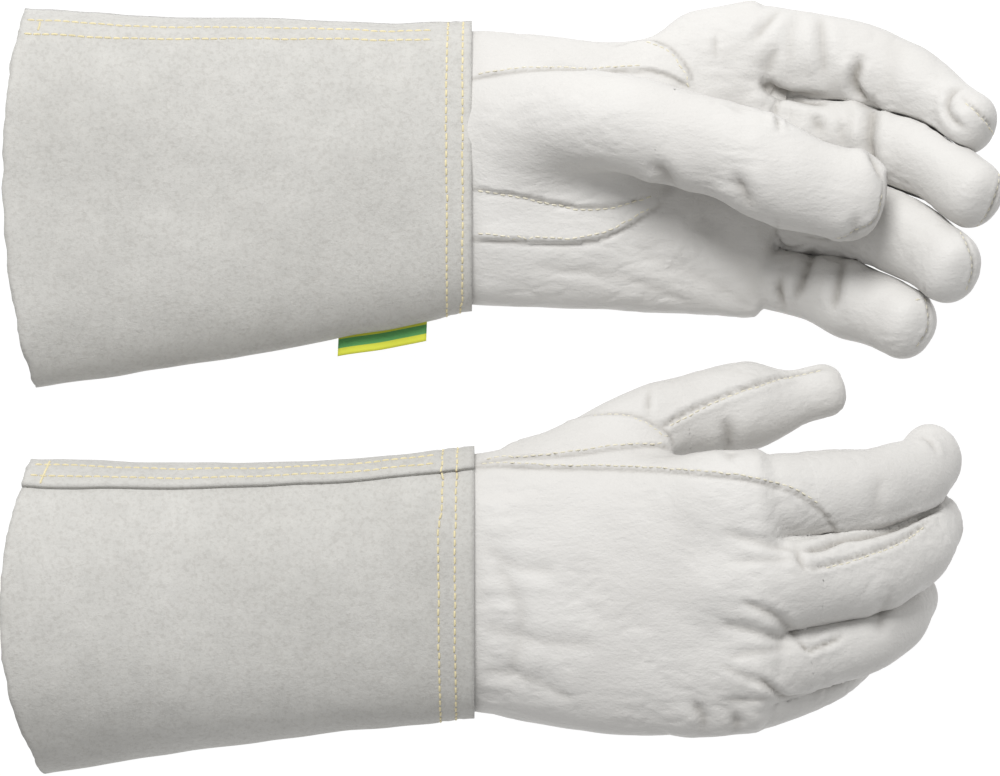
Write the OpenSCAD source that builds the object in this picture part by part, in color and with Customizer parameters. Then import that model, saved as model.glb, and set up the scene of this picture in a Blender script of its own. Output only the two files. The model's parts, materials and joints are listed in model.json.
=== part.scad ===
// A pair of welding gauntlets: smooth leather hands, split-leather cuffs, sewn from separate panels.
// Each glove is drawn as a right-hand glove with its wrist seam at the origin: +X runs to the
// fingertips, +Y to the thumb side and +Z out of the back of the hand.
// The left glove is the mirror image, so it lies with its palm up.

/* [Cuff] */
// Length of the cuff from the wrist seam to the middle of its open edge
cuff_length = 166; // [120:1:200]
// How far the middle of the open edge stands out past its two side seams
cuff_bow = 8; // [0:1:14]
// How far the cuff laps over the hand leather at the wrist
cuff_lap = 8; // [5:1:12]
// Thickness of the split leather
cuff_wall = 1.5; // [1.2:0.1:2]
// Width of the lapped side seam
side_lap = 7; // [5:1:9]

/* [Hand] */
// Thickness of the hand leather
hand_wall = 1.2; // [0.9:0.1:1.4]
// Gap left for the leather that bends between the hand and each finger
knuckle_gap = 7; // [6:0.5:9]
// Gap left for the leather that bends between the thumb gusset and the thumb
thumb_gap = 6; // [5:0.5:8]

/* [Sewing] */
// Thickness of the sewing thread
thread = 0.7; // [0.5:0.1:1]
// Distance from the wrist edge to the nearer row of stitches
row_inset = 3; // [2:0.5:4]
// Distance between two rows of stitches
row_gap = 5; // [4:0.5:6]
// Width of the woven label
label_width = 31; // [20:1:35]
// How far the woven label stands out of the side seam
label_reach = 10; // [6:1:12]

/* [Hidden] */
HANDS = ["left", "right"];
FINGERS = ["index", "middle", "ring", "little"];
HAND_PIECES = ["cuff_back", "cuff_palm", "cuff_wrist_stitching", "cuff_side_stitching",
               "hand_back", "hand_palm", "back_seam_stitching", "thumb_gusset", "wrist_elastic",
               "thumb_back", "thumb_front"];
FINGER_PIECES = ["back", "front", "fourchette"];

cuff_color = [0.80, 0.79, 0.76];
hand_color = [0.93, 0.92, 0.90];
yellow_thread = [0.90, 0.82, 0.50];
cream_thread = [0.93, 0.90, 0.80];
label_color = [0.93, 0.88, 0.25];
elastic_color = [0.88, 0.88, 0.86];

around = 24;                       // cells round a glove
bend = 9;                          // half the length over which a finger joint bends
cap_rings = [25, 50, 72, 90];      // angles of the rings that close a fingertip
clearance = 0.3;                   // between a piece and the piece it laps over

// Where each glove's wrist seam lies
function origin(h) = h == "left" ? [-11.1, 76, 21] : [-10.1, -68, 46];

// A tube ring: centre, half width, height to the back, height to the palm, squareness, sideways tilt
function mouth_ring(h) = h == "left" ? [[-cuff_length, -10, -5.4], 66, 24, 24, 2.2, 0]
                                     : [[-cuff_length, -12, -5.6], 54.2, 38, 38, 2.1, 0];
function wrist_ring(h) = h == "left" ? [[0, 0, 0], 48, 17.5, 20, 2.3, 0]
                                     : [[0, 0, 0], 46, 23, 23, 2.2, 0];
function knuckle_ring(h) = h == "left" ? [[106 - knuckle_gap, 4, 3], 56, 17.4, 16, 3.6, 0]
                                       : [[104 - knuckle_gap, -8, 16], 53, 19, 18, 3.4, 5];

// A digit: base, turn, roll of its curl plane, slopes of its three bones, their lengths,
// half width at the base and at the tip
function digit(h, f) = h == "left"
  ? (f == "index"  ? [[106, 43, 3], -10, -14, [8, 25, 42], [34, 26, 18], 12.8, 11]
   : f == "middle" ? [[108, 15.5, 3], -8, -14, [12, 30, 48], [37, 27, 18], 12.2, 10.8]
   : f == "ring"   ? [[107, -11, 3], -9, -16, [14, 34, 52], [34, 25, 17], 11.8, 10.5]
   : f == "little" ? [[104, -37, 3], -10, -16, [12, 30, 48], [26, 19, 15], 11, 9.8]
   :                 [[62, 15, -34], -15, -150, [-14, -6, 2], [28, 24, 16], 15, 13])
  : (f == "index"  ? [[108, 30, 16], 5, 12, [26, 52, 70], [34, 26, 18], 12.3, 10.6]
   : f == "middle" ? [[109, 3, 20], 7, 13, [28, 54, 74], [37, 27, 18], 12, 10.6]
   : f == "ring"   ? [[106, -23.5, 16], 7, 15, [28, 54, 76], [34, 25, 17], 11.6, 10.2]
   : f == "little" ? [[103.5, -47.5, 6], 7, 17, [28, 54, 76], [24, 18, 15], 10.6, 9.4]
   :                 [[66, 58, -6], 3, -150, [-20, -16, -8], [24, 20, 14], 14.5, 12]);

// The opening in the hand that the thumb goes through: start, end, middle angle, half angle
function thumb_hole(h) = h == "left" ? [16, 52, 285, 30] : [20, 50, 0, 30];

finger_flatness = 0.92;            // height of a finger over its width
digit_steps = 9;                   // rings along a digit, without its tip
side_angle = 30;                   // half the width of a fourchette, as an angle round the finger

function soft(t) = let (c = max(0, min(1, t))) c * c * (3 - 2 * c);
function signed_power(v, e) = sign(v) * pow(abs(v), e);
function numbers(a, b, n) = [for (i = [0 : n]) a + (b - a) * i / n];

// Point on a tube ring at an angle, at a distance outside its surface
function on_ring(r, angle, off, along = 0) =
  let (c = signed_power(cos(angle), 2 / r[4]),
       s = signed_power(sin(angle), 2 / r[4]),
       y = (r[1] + off) * c,
       z = ((sin(angle) > 0 ? r[2] : r[3]) + off) * s)
  r[0] + [along, y * cos(r[5]) - z * sin(r[5]), y * sin(r[5]) + z * cos(r[5])];

function mix_rings(a, b, t) = [for (i = [0 : 5]) a[i] + (b[i] - a[i]) * t];

// Points on the hand and on the cuff, from a distance past the wrist seam and an angle
function on_hand(h, x, angle, off) =
  let (k = knuckle_ring(h), t = x / k[0][0], r = mix_rings(wrist_ring(h), k, soft(t)))
  on_ring(r, angle, off) + [x - r[0][0], 0, 0];
function on_cuff(h, x, angle, off) =
  let (t = max(0, -x / cuff_length),
       r = mix_rings(wrist_ring(h), mouth_ring(h), t),
       out = off + hand_wall / 2 + clearance)
  x > 0 ? on_hand(h, x, angle, out)
        : on_ring(r, angle, out, cuff_bow * t * pow(cos(angle), 2)) + [x - r[0][0], 0, 0];

// Axes of a digit: forward, towards the palm when it curls, and its hinge axis
function forward(d) = [cos(d[1]), sin(d[1]), 0];
function inward(d) = [-sin(d[1]) * sin(d[2]), cos(d[1]) * sin(d[2]), -cos(d[2])];
function sideways(d) = [-sin(d[1]) * cos(d[2]), cos(d[1]) * cos(d[2]), sin(d[2])];
function slope(d, s) = let (a = d[3], l = d[4])
  a[0] + (a[1] - a[0]) * soft((s - l[0] + bend) / (2 * bend))
       + (a[2] - a[1]) * soft((s - l[0] - l[1] + bend) / (2 * bend));
function heading(d, s) = forward(d) * cos(slope(d, s)) + inward(d) * sin(slope(d, s));
function reach(d) = d[4][0] + d[4][1] + d[4][2];
function spine(d, i, p) = i == digit_steps ? [p]
  : concat([p], spine(d, i + 1, p + heading(d, (i + 0.5) * reach(d) / digit_steps) * reach(d) / digit_steps));

// Point on a digit: ring number, angle round it, distance outside its surface
function on_digit(d, points, i, angle, off) =
  let (last = min(i, digit_steps),
       s = last * reach(d) / digit_steps,
       q = i > digit_steps ? cap_rings[i - digit_steps - 1] : 0,
       wide = d[5] + (d[6] - d[5]) * last / digit_steps,
       along = heading(d, s),
       outward = forward(d) * sin(slope(d, s)) - inward(d) * cos(slope(d, s)),
       round = q == 90 ? 0 : cos(q))
  points[last] + along * (wide + off) * sin(q)
  + (sideways(d) * (wide + off) * cos(angle) + outward * (wide * finger_flatness + off) * sin(angle)) * round;

// A closed skin between two offsets of a surface, made of the cells that keep() leaves in.
// at(u, v, off) gives a point, us and vs are the grid lines, and a tube's last v meets its first.
module skin(at, us, vs, low, high, keep = function(u, v) true, tube = false) {
  nu = len(us);
  nv = len(vs);
  points = [for (off = [low, high], u = us, v = vs) at(u, v, off)];
  function id(layer, i, j) = (layer * nu + i) * nv + (tube ? j % (nv - 1) : j);
  function has(i, j) = tube && (j < 0 || j >= nv - 1) ? has(i, (j + nv - 1) % (nv - 1))
    : i >= 0 && j >= 0 && i < nu - 1 && j < nv - 1
      && keep((us[i] + us[i + 1]) / 2, (vs[j] + vs[j + 1]) / 2);
  function quad(a, b, c, d) = [[a, b, c], [a, c, d]];
  function wall(i, j, k, l) = quad(id(0, i, j), id(0, k, l), id(1, k, l), id(1, i, j));
  quads = [for (i = [0 : nu - 2], j = [0 : nv - 2]) if (has(i, j)) concat(
    quad(id(1, i, j), id(1, i + 1, j), id(1, i + 1, j + 1), id(1, i, j + 1)),
    quad(id(0, i, j), id(0, i, j + 1), id(0, i + 1, j + 1), id(0, i + 1, j)),
    has(i, j - 1) ? [] : wall(i, j, i + 1, j),
    has(i, j + 1) ? [] : wall(i + 1, j + 1, i, j + 1),
    has(i - 1, j) ? [] : wall(i, j + 1, i, j),
    has(i + 1, j) ? [] : wall(i + 1, j, i + 1, j + 1))];
  function apart(a, b) = norm(points[a] - points[b]) > 0.001;
  triangles = [for (q = quads, t = q)
    if (apart(t[0], t[1]) && apart(t[1], t[2]) && apart(t[0], t[2])) t];
  polyhedron(points, triangles);
}

module placed(h) {
  translate(origin(h)) mirror([0, 0, h == "left" ? 1 : 0]) children();
}

cuff_rows = [-cuff_length, -cuff_length * 0.75, -cuff_length * 0.5, -cuff_length * 0.25, -15, 0, cuff_lap];
function wrist_row(i) = cuff_lap - row_inset - row_gap * i;
function hand_rows(h) = numbers(0, knuckle_ring(h)[0][0], 10);

// Two panels of split leather, which meet at the little-finger side and lap at the thumb side
module cuff_back(h) {
  color(cuff_color)
    skin(function(x, a, off) on_cuff(h, x, a, off), cuff_rows, numbers(0, 180, around / 2), 0, cuff_wall);
}

module cuff_palm(h) {
  color(cuff_color)
    skin(function(x, a, off) on_cuff(h, x, a, off), cuff_rows, numbers(180, 360, around / 2), 0, cuff_wall);
}

// Two rows of thread round the wrist end of the cuff
module cuff_wrist_stitching(h) {
  color(yellow_thread)
    for (i = [0, 1], side = [0, 180])
      skin(function(x, a, off) on_cuff(h, x, a, off), [wrist_row(i) - thread, wrist_row(i)],
           numbers(side, side + 180, around / 2), cuff_wall, cuff_wall + thread);
}

// Two rows of thread along the lapped side seam
module cuff_side_stitching(h) {
  color(yellow_thread)
    for (i = [1, 2])
      skin(function(x, a, off) on_cuff(h, x, a, off), [for (x = cuff_rows) if (x < -10) x],
           [i * side_lap - 1, i * side_lap], cuff_wall, cuff_wall + thread);
}

// True where the leather of the hand is whole, away from the thumb's opening
function whole(h, x, angle) =
  let (o = thumb_hole(h), turn = abs((angle - o[2] + 540) % 360 - 180))
  x < o[0] || x > o[1] || turn > o[3];

module hand_back(h) {
  color(hand_color)
    skin(function(x, a, off) on_hand(h, x, a, off), hand_rows(h), numbers(0, 180, around / 2),
         -hand_wall / 2, hand_wall / 2, function(x, a) whole(h, x, a));
}

module hand_palm(h) {
  color(hand_color)
    skin(function(x, a, off) on_hand(h, x, a, off), hand_rows(h), numbers(180, 360, around / 2),
         -hand_wall / 2, hand_wall / 2, function(x, a) whole(h, x, a));
}

// The seam that wraps the index finger, along the back from the cuff to the knuckles
module back_seam_stitching(h) {
  start = cuff_lap + 4;
  finish = knuckle_ring(h)[0][0] - 2;
  color(cream_thread)
    skin(function(x, a, off) on_hand(h, x, a + 26 * soft((x - start) / (finish - start)), off),
         numbers(start, finish, 8), [34, 35], hand_wall / 2, hand_wall / 2 + thread);
}

// The sleeve that joins the thumb to the hand: a loft from the edge of the opening to the thumb's base
function thumb_mouth(h, v, off) =
  let (d = digit(h, "thumb"),
       o = thumb_hole(h),
       along = heading(d, 0),
       out = [0, cos(o[2]), sin(o[2])],
       leaned = out - along * (along * out),
       e1 = leaned / norm(leaned),
       e2 = cross(along, e1),
       r = d[5] + 0.8 + off)
  d[0] - along * thumb_gap - e1 * r * cos(v) + e2 * r * sin(v);
function thumb_foot(h, v, off) =
  let (o = thumb_hole(h),
       x = (o[0] + o[1]) / 2 + signed_power(cos(v), 0.6) * ((o[1] - o[0]) / 2 + 5 + off),
       a = o[2] + signed_power(sin(v), 0.6) * (o[3] + 8 + off * 1.5))
  on_hand(h, x, a, hand_wall / 2 + clearance);

module thumb_gusset(h) {
  color(hand_color)
    skin(function(t, v, off) let (k = soft(t)) thumb_foot(h, v, off) * (1 - k) + thumb_mouth(h, v, off) * k,
         numbers(0, 1, 5), numbers(360, 0, 20), 0, hand_wall, tube = true);
}

// A narrow elastic strip sewn inside the back of the wrist
module wrist_elastic(h) {
  color(elastic_color)
    skin(function(x, a, off) on_hand(h, x, a, off), [16, 24], numbers(45, 135, 6),
         -hand_wall / 2 - clearance - 1, -hand_wall / 2 - clearance);
}

// One strip of leather along a digit, between two angles
module strip(h, f, from, to, cells) {
  d = digit(h, f);
  points = spine(d, 0, d[0]);
  rings = [for (i = [0 : digit_steps + len(cap_rings)]) i];
  color(hand_color)
    skin(function(i, a, off) on_digit(d, points, i, a, off), rings, numbers(from, to, cells), -hand_wall, 0);
}

module thumb_back(h) {
  strip(h, "thumb", 0, 180, 8);
}

module thumb_front(h) {
  strip(h, "thumb", 180, 360, 8);
}

// The back and front of a finger, and the strips that join them on the sides that face another finger
function toward_thumb(f) = f == "index" ? 0 : side_angle;
function toward_little(f) = f == "little" ? 0 : side_angle;

module finger_back(h, f) {
  strip(h, f, toward_thumb(f), 180 - toward_little(f), 5);
}

module finger_front(h, f) {
  strip(h, f, 180 + toward_little(f), 360 - toward_thumb(f), 5);
}

module finger_fourchette(h, f) {
  if (toward_little(f) > 0) strip(h, f, 180 - side_angle, 180 + side_angle, 2);
  if (toward_thumb(f) > 0) strip(h, f, -side_angle, side_angle, 2);
}

// A folded woven label in the little-finger side seam of the left cuff
module size_label() {
  start = -17;                     // its end nearer the wrist, past the wrist seam
  color(label_color)
    skin(function(x, y, off) on_cuff("left", x, 180, cuff_wall) + [0, -y, off],
         [start - label_width, start], [label_reach, clearance], -0.5, 0.5);
}

for (h = HANDS) {
  placed(h) cuff_back(h);
  placed(h) cuff_palm(h);
  placed(h) cuff_wrist_stitching(h);
  placed(h) cuff_side_stitching(h);
  placed(h) hand_back(h);
  placed(h) hand_palm(h);
  placed(h) back_seam_stitching(h);
  placed(h) thumb_gusset(h);
  placed(h) wrist_elastic(h);
  placed(h) thumb_back(h);
  placed(h) thumb_front(h);
  for (f = FINGERS) {
    placed(h) finger_back(h, f);
    placed(h) finger_front(h, f);
    placed(h) finger_fourchette(h, f);
  }
}
placed("left") size_label();  // left_size_label
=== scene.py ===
"""A pair of welding gauntlets in off-white grain leather with split-leather cuffs."""
import json

import bpy
import numpy as np
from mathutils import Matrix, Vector
from mathutils.bvhtree import BVHTree


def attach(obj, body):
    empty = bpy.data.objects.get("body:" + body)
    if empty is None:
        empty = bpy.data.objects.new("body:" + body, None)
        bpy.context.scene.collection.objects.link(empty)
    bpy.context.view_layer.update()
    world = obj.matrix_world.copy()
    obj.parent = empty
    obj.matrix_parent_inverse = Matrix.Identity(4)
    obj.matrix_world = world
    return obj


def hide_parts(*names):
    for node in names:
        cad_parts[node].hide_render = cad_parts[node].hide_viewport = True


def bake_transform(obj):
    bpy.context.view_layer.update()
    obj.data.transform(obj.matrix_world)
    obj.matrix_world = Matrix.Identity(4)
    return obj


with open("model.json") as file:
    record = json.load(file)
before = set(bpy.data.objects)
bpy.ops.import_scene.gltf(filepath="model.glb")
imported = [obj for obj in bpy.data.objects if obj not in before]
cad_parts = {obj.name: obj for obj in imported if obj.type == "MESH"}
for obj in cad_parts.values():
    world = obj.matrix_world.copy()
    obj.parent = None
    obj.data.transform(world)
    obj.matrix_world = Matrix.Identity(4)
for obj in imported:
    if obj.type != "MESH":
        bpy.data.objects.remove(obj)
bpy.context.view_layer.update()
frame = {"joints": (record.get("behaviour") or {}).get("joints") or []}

MM = 0.001
DIGITS = ("index", "middle", "ring", "little", "thumb")


# -------------------- camera and light

PHOTO_WIDTH = 353.5 * MM  # what the picture spans at the level of the gloves
PHOTO_MIDDLE = -1.1 * MM  # the x below its middle
GLOVE_LEVEL = 40 * MM
LENS, SENSOR = 250.0, 36.0
KEY_PLACE, KEY_SIZE, KEY_POWER = (-0.15, 1.02, 1.32), 0.7, 26.0
WORLD_STRENGTH = 0.5


def add_camera():
    data = bpy.data.cameras.new("camera")
    data.lens, data.sensor_width, data.clip_end = LENS, SENSOR, 20
    camera = bpy.data.objects.new("camera", data)
    bpy.context.collection.objects.link(camera)
    camera.location = (PHOTO_MIDDLE, 0, GLOVE_LEVEL + PHOTO_WIDTH * LENS / SENSOR)
    bpy.context.scene.camera = camera


def add_studio():
    data = bpy.data.lights.new("key", "AREA")
    data.shape, data.size, data.energy = "DISK", KEY_SIZE, KEY_POWER
    key = bpy.data.objects.new("key", data)
    bpy.context.collection.objects.link(key)
    key.location = KEY_PLACE
    key.rotation_euler = (-Vector(KEY_PLACE)).to_track_quat("-Z", "Y").to_euler()
    world = bpy.data.worlds.new("studio")
    world.use_nodes = True
    world.node_tree.nodes["Background"].inputs["Color"].default_value = (1, 1, 1, 1)
    world.node_tree.nodes["Background"].inputs["Strength"].default_value = WORLD_STRENGTH
    bpy.context.scene.world = world
    bpy.context.scene.view_settings.view_transform = "Standard"
    floor = make_object("floor", [(-4, -4, 0), (4, -4, 0), (4, 4, 0), (-4, 4, 0)], [(0, 1, 2, 3)])
    floor.data.materials.append(floor_material())


# -------------------- materials

class Nodes:
    """Builds a material's node tree a node at a time."""

    def __init__(self, name):
        self.material = bpy.data.materials.new(name)
        self.material.use_nodes = True
        self.tree = self.material.node_tree
        self.shader = self.tree.nodes["Principled BSDF"]
        self.place = self.add("ShaderNodeTexCoord").outputs["Object"]

    def add(self, kind, **settings):
        node = self.tree.nodes.new(kind)
        for key, value in settings.items():
            setattr(node, key, value)
        return node

    def link(self, source, target):
        self.tree.links.new(source, target)
        return source

    def stretch(self, scale):
        node = self.add("ShaderNodeMapping")
        node.inputs["Scale"].default_value = scale
        self.link(self.place, node.inputs["Vector"])
        return node.outputs["Vector"]

    def noise(self, scale, detail=3.0, rough=0.55, vector=None):
        node = self.add("ShaderNodeTexNoise")
        node.inputs["Scale"].default_value = scale
        node.inputs["Detail"].default_value = detail
        node.inputs["Roughness"].default_value = rough
        self.link(vector or self.place, node.inputs["Vector"])
        return node.outputs["Fac"]

    def cells(self, scale, kind="F1"):
        node = self.add("ShaderNodeTexVoronoi", feature=kind)
        node.inputs["Scale"].default_value = scale
        self.link(self.place, node.inputs["Vector"])
        return node.outputs["Distance"]

    def ramp(self, source, stops):
        node = self.add("ShaderNodeValToRGB")
        ramp = node.color_ramp
        while len(ramp.elements) < len(stops):
            ramp.elements.new(0.5)
        for element, (at, colour) in zip(ramp.elements, stops):
            element.position, element.color = at, (*colour, 1)
        self.link(source, node.inputs["Fac"])
        return node.outputs["Color"]

    def multiply(self, a, b, amount=1.0):
        node = self.add("ShaderNodeMix", data_type="RGBA", blend_type="MULTIPLY")
        node.inputs["Factor"].default_value = amount
        self.link(a, node.inputs[6])  # 6, 7 and 2 are the sockets that hold colours
        self.link(b, node.inputs[7])
        return node.outputs[2]

    def bump(self, height, distance, strength=1.0, under=None):
        node = self.add("ShaderNodeBump")
        node.inputs["Strength"].default_value = strength
        node.inputs["Distance"].default_value = distance
        self.link(height, node.inputs["Height"])
        if under:
            self.link(under, node.inputs["Normal"])
        return node.outputs["Normal"]

    def attribute(self, name):
        return self.add("ShaderNodeAttribute", attribute_name=name).outputs["Fac"]

    def finish(self, colour, roughness, normal=None, sheen=0.0, specular=0.5):
        if isinstance(colour, tuple):
            self.shader.inputs["Base Color"].default_value = (*colour, 1)
        else:
            self.link(colour, self.shader.inputs["Base Color"])
        self.shader.inputs["Roughness"].default_value = roughness
        self.shader.inputs["Specular IOR Level"].default_value = specular
        self.shader.inputs["Sheen Weight"].default_value = sheen
        if normal:
            self.link(normal, self.shader.inputs["Normal"])
        return self.material


def grain_leather():
    n = Nodes("grain_leather")
    tone = n.ramp(n.noise(22, 4), [(0.3, (0.575, 0.562, 0.541)), (0.72, (0.613, 0.602, 0.582))])
    pores = n.ramp(n.cells(900), [(0.0, (0.93, 0.93, 0.93)), (0.35, (1, 1, 1))])
    # painted shade in creases and under lapped edges: the leather's colour is darkened where the crease
    # attribute is high
    painted_crease_shade = n.ramp(n.attribute("crease"), [(0.0, (1, 1, 1)), (1.0, (0.55, 0.53, 0.50))])
    colour = n.multiply(n.multiply(tone, pores, 0.5), painted_crease_shade)
    broad = n.bump(n.noise(230, 3, 0.6, n.stretch((0.45, 1, 1))), 0.0008, 0.35)
    wrinkles = n.bump(n.noise(640, 3, 0.65, n.stretch((0.55, 1, 1))), 0.0004, 0.6, broad)
    grain = n.bump(n.cells(1050, "SMOOTH_F1"), 0.0002, 0.3, wrinkles)
    return n.finish(colour, 0.56, grain, sheen=0.05, specular=0.2)


def split_leather():
    n = Nodes("split_leather")
    broad = n.ramp(n.noise(14, 5, 0.62), [(0.30, (0.476, 0.468, 0.443)), (0.70, (0.544, 0.536, 0.511))])
    mottle = n.ramp(n.noise(160, 5, 0.75), [(0.30, (0.93, 0.93, 0.93)), (0.66, (1.03, 1.03, 1.03))])
    fleck = n.ramp(n.noise(620, 2, 0.7), [(0.36, (0.86, 0.85, 0.84)), (0.52, (1.01, 1.01, 1.01))])
    colour = n.multiply(n.multiply(broad, mottle), fleck, 0.6)
    nap = n.bump(n.noise(900, 4, 0.8), 0.0004, 0.7, n.bump(n.noise(120, 4, 0.7), 0.0008, 0.35))
    return n.finish(colour, 0.95, nap, sheen=0.25, specular=0.1)


def thread_material(name, colour, hole=(0.30, 0.25, 0.18)):
    n = Nodes(name)
    tone = n.ramp(n.noise(300, 2), [(0.3, tuple(c * 0.85 for c in colour)), (0.7, colour)])
    # painted shade in the stitch holes: each stitch's colour darkens to the hole colour at its two ends
    ends = n.ramp(n.attribute("hole"), [(0.25, (1, 1, 1)), (0.8, hole)])
    return n.finish(n.multiply(tone, ends), 0.7, sheen=0.2, specular=0.2)


def label_material():
    n = Nodes("woven_label")
    yellow, green = (0.60, 0.62, 0.06), (0.10, 0.32, 0.10)
    colour = n.ramp(n.attribute("stripe"), [(0.0, yellow), (0.45, yellow), (0.55, green)])
    weave = n.bump(n.noise(2500, 1, 0.5, n.stretch((1, 0.2, 1))), 0.0002, 0.4)
    return n.finish(colour, 0.7, weave, sheen=0.1, specular=0.2)


def floor_material():
    n = Nodes("floor")
    n.shader.inputs["Emission Color"].default_value = (1, 1, 1, 1)
    n.shader.inputs["Emission Strength"].default_value = 0.95
    return n.finish((0.12, 0.12, 0.12), 1.0, specular=0.0)


# -------------------- small tools

def make_object(name, verts, faces):
    mesh = bpy.data.meshes.new(name)
    mesh.from_pydata([tuple(v) for v in verts], [], [tuple(int(i) for i in f) for f in faces])
    mesh.update()
    mesh.shade_smooth()
    obj = bpy.data.objects.new(name, mesh)
    bpy.context.collection.objects.link(obj)
    return obj


def set_attribute(obj, name, values):
    layer = obj.data.attributes.new(name, "FLOAT", "POINT")
    layer.data.foreach_set("value", np.asarray(values, np.float32))


def dress(obj, material):
    obj.data.materials.append(material)


def soft(t):
    t = np.clip(t, 0, 1)
    return t * t * (3 - 2 * t)


def hill(x, width):
    return np.exp(-(x / width) ** 2)


def unit(v):
    return v / np.maximum(np.linalg.norm(v, axis=-1, keepdims=True), 1e-12)


def soft_min(a, b, k):
    h = np.clip(0.5 + 0.5 * (b - a) / k, 0, 1)
    return b + (a - b) * h - k * h * (1 - h)


class Noise:
    """Smooth noise in space, the same on every run, from about -1 to 1."""

    def __init__(self, seed):
        rng = np.random.default_rng(seed)
        self.order = rng.permutation(256)
        self.slopes = unit(rng.normal(size=(256, 3)))

    def __call__(self, points, scale):
        p = np.asarray(points, float) / scale
        base = np.floor(p).astype(int)
        part = p - base
        ease = part ** 3 * (part * (part * 6 - 15) + 10)
        total = 0
        for corner in np.ndindex(2, 2, 2):
            c = np.array(corner)
            cell = (base + c) & 255
            key = self.order[(self.order[(self.order[cell[:, 0]] + cell[:, 1]) & 255] + cell[:, 2]) & 255]
            rise = ((part - c) * self.slopes[key]).sum(1)
            total = total + rise * np.prod(np.where(c, ease, 1 - ease), axis=1)
        return total * 1.6


NOISE = Noise(7)


def run_of(line):
    """How far along a line each of its points is."""
    return np.concatenate([[0], np.cumsum(np.linalg.norm(np.diff(line, axis=0), axis=1))])


def between(at, run, table):
    """A table's rows, which stand at the places in run, read off at the places in at."""
    return np.stack([np.interp(at, run, column) for column in np.transpose(table)], -1)


def curve(points):
    """A smooth line through the points, sampled every millimetre or so."""
    p = np.array(points, float)
    p = np.concatenate([[2 * p[0] - p[1]], p, [2 * p[-1] - p[-2]]])
    out = []
    for a, b, c, d in zip(p[:-3], p[1:-2], p[2:-1], p[3:]):
        t = np.linspace(0, 1, 24, endpoint=False)[:, None]
        out.append(0.5 * (2 * b + (c - a) * t + (2 * a - 5 * b + 4 * c - d) * t ** 2
                          + (3 * b - a - 3 * c + d) * t ** 3))
    return resample(np.concatenate(out + [p[-2:-1]]))


def resample(line):
    run = run_of(line)
    return between(np.linspace(0, run[-1], max(2, int(round(run[-1])) + 1)), run, line)


def grid_faces(ids):
    return np.stack([ids[:-1, :-1], ids[1:, :-1], ids[1:, 1:], ids[:-1, 1:]], -1).reshape(-1, 4)


# -------------------- the shape of a glove, in millimetres
# As in the CAD, each glove is worked out as a right-hand glove with its wrist seam at the origin:
# +X to the fingertips, +Y to the thumb side, +Z out of the back. The left glove is mirrored in Z.

ORIGIN = {"left": (-11.1, 76, 21), "right": (-10.1, -68, 46)}

# The hand at stations along it: x, y centre, z centre, half width, height to the back, height to the
# palm, squareness, tilt in degrees
HAND = {
    "left": [(-30, 2.5, 0, 48, 17, 19, 2.3, 0), (0, 2.5, 0, 49, 17.5, 20, 2.3, 0),
             (18, 1.6, 0, 48.5, 18, 20, 2.4, 0), (46, 0, 0, 47.4, 18, 19, 2.5, 0),
             (60, -0.3, 1, 48.4, 18, 17, 2.7, 0), (76, 2.4, 2, 52, 17.5, 15, 2.8, 0),
             (90, 3.5, 3, 54.2, 16.5, 14, 2.9, 0), (100, 4.5, 3, 55.3, 15, 13, 3.0, 0)],
    "right": [(-30, -1, -1, 44, 22, 22, 2.2, 0), (0, -1, 0, 45, 23, 22, 2.2, 0),
              (18, -3, 2, 46.2, 22.5, 22, 2.3, 0), (44, -5, 7, 48, 21, 20, 2.4, 0),
              (66, -5.5, 12, 48.5, 19.5, 18, 2.6, 3), (84, -3.5, 16, 49, 17, 16, 2.9, 5),
              (98, -2, 17.5, 47.5, 15, 14, 3.1, 6)],
}
HAND_END = {"left": 100, "right": 98}
HAND_START = -22.0
HAND_ROUND = 9.0  # over how long it rounds off past its end

# Each digit: shift of its base along its hinge, turns of its three bones in the plane of the hand, their
# slopes towards the palm, their lengths, and the half widths at its base, middle and tip
DIGIT = {
    "left": {
        "index": (0.9, (-10, -26, -36), (6, 22, 34), (35, 26, 18), (16.4, 15.6, 11.6)),
        "middle": (0, (-5, -24, -40), (12, 28, 40), (35, 26, 20), (14.2, 14.6, 12.8)),
        "ring": (0.4, (-9, -24, -40), (14, 32, 44), (32, 25, 18.5), (15.2, 15.6, 13.2)),
        "little": (0.5, (-12, -20, -30), (12, 28, 40), (24, 18, 15), (11.0, 14.8, 12.8)),
        "thumb": (0, (-16, -25, -14), (7, 0, -4), (33, 24, 16), (16.8, 17.8, 16.0)),
    },
    "right": {
        "index": (-0.5, (3, 16, 44), (22, 44, 60), (33, 26, 14.5), (16.0, 14.8, 13.0)),
        "middle": (-3.5, (8, 26, 56), (24, 46, 64), (37, 27, 15), (16.0, 14.4, 11.8)),
        "ring": (-5.5, (14, 30, 56), (26, 47, 66), (35, 25.5, 14.5), (12.6, 12.8, 10.8)),
        "little": (7.5, (20, 30, 48), (28, 48, 68), (24, 20, 14), (11.0, 11.2, 10.2)),
        "thumb": (2.6, (14, 6, 14), (16, 12, 8), (20, 23, 17), (14.6, 15.8, 9.6)),
    },
}
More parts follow.
